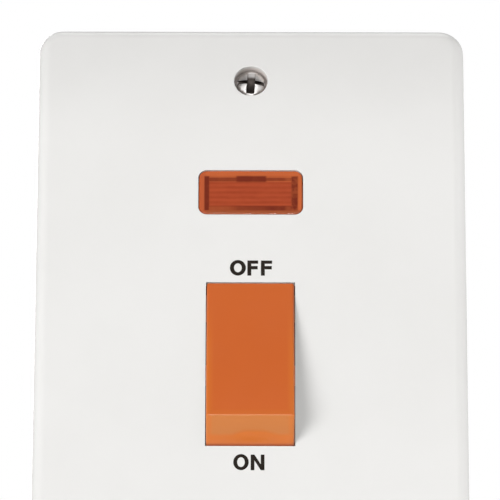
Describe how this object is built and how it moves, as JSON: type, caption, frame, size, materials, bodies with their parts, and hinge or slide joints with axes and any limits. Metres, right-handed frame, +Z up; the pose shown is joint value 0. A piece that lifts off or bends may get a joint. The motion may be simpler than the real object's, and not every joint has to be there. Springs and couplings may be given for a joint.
{
  "type": "double pole switch",
  "caption": "Tall white wall plate with an orange rocker and an amber neon window; both poles are opened by see-saw contacts behind the rocker.",
  "frame": {"origin": "on the wall plane, midway between the two fixing screws", "axes": "+Z up along the plate's length, +Y into the wall, +X to the right seen from the front"},
  "size_m": [0.086, 0.0434, 0.145],
  "materials": {
    "plate": "gloss white moulding",
    "rocker": "gloss orange moulding",
    "lens": "amber clear moulding",
    "nickel": "bright nickel plated",
    "base": "dark grey moulding",
    "steel": "zinc plated",
    "brass": "plain brass",
    "copper": "plain copper strip",
    "silver": "silver contact",
    "plunger": "natural nylon",
    "holder": "white moulding",
    "glass": "clear glass",
    "resistor": "lacquered",
    "lead": "insulated wire"
  },
  "bodies": {
    "switch_body": {"front_plate": "plate", "fixing_screws": "nickel", "switch_base": "base", "base_screws": "steel", "terminal_screws": "steel", "earth_terminal": "brass", "earth_screws": "steel", "neon_lens": "lens", "neon_holder": "holder", "neon_glass": "glass", "neon_electrodes": "steel", "neon_resistor": "resistor", "live_fixed_tip": "silver", "live_load_bar": "copper", "live_supply_bar": "copper", "neon_lead_live": "lead", "live_load_terminal": "brass", "live_supply_terminal": "brass", "neutral_fixed_tip": "silver", "neutral_load_bar": "copper", "neutral_supply_bar": "copper", "neon_lead_neutral": "lead", "neutral_load_terminal": "brass", "neutral_supply_terminal": "brass"},
    "rocker": {"rocker": "rocker", "live_spring": "steel", "neutral_spring": "steel"},
    "live_plunger": {"live_plunger": "plunger"},
    "live_contact": {"live_moving_contact": "copper", "live_moving_tip": "silver"},
    "neutral_plunger": {"neutral_plunger": "plunger"},
    "neutral_contact": {"neutral_moving_contact": "copper", "neutral_moving_tip": "silver"}
  },
  "joints": [
    {"name": "rocker_tilt", "type": "hinge", "parent": "switch_body", "child": "rocker", "pos_m": [0, -0.0041, -0.0033], "axis": [1, 0, 0], "range_deg": [0, 23]},
    {"name": "live_plunger_slide", "type": "slide", "parent": "rocker", "child": "live_plunger", "axis": [0, -0.9799, 0.1994], "range_m": [0, 0.0009], "stiffness_N_per_m": 600, "springref_m": -0.002, "deforming": ["live_spring"]},
    {"name": "live_contact_tilt", "type": "hinge", "parent": "switch_body", "child": "live_contact", "pos_m": [-0.0046, 0.0091, -0.0033], "axis": [1, 0, 0], "range_deg": [-18, 0]},
    {"name": "neutral_plunger_slide", "type": "slide", "parent": "rocker", "child": "neutral_plunger", "axis": [0, -0.9799, 0.1994], "range_m": [0, 0.0009], "stiffness_N_per_m": 600, "springref_m": -0.002, "deforming": ["neutral_spring"]},
    {"name": "neutral_contact_tilt", "type": "hinge", "parent": "switch_body", "child": "neutral_contact", "pos_m": [0.0046, 0.0091, -0.0033], "axis": [1, 0, 0], "range_deg": [-18, 0]}
  ],
  "couplings": [
    {"joint": "live_contact_tilt", "follows": "rocker_tilt", "ratio": -0.7826},
    {"joint": "neutral_contact_tilt", "follows": "rocker_tilt", "ratio": -0.7826}
  ]
}
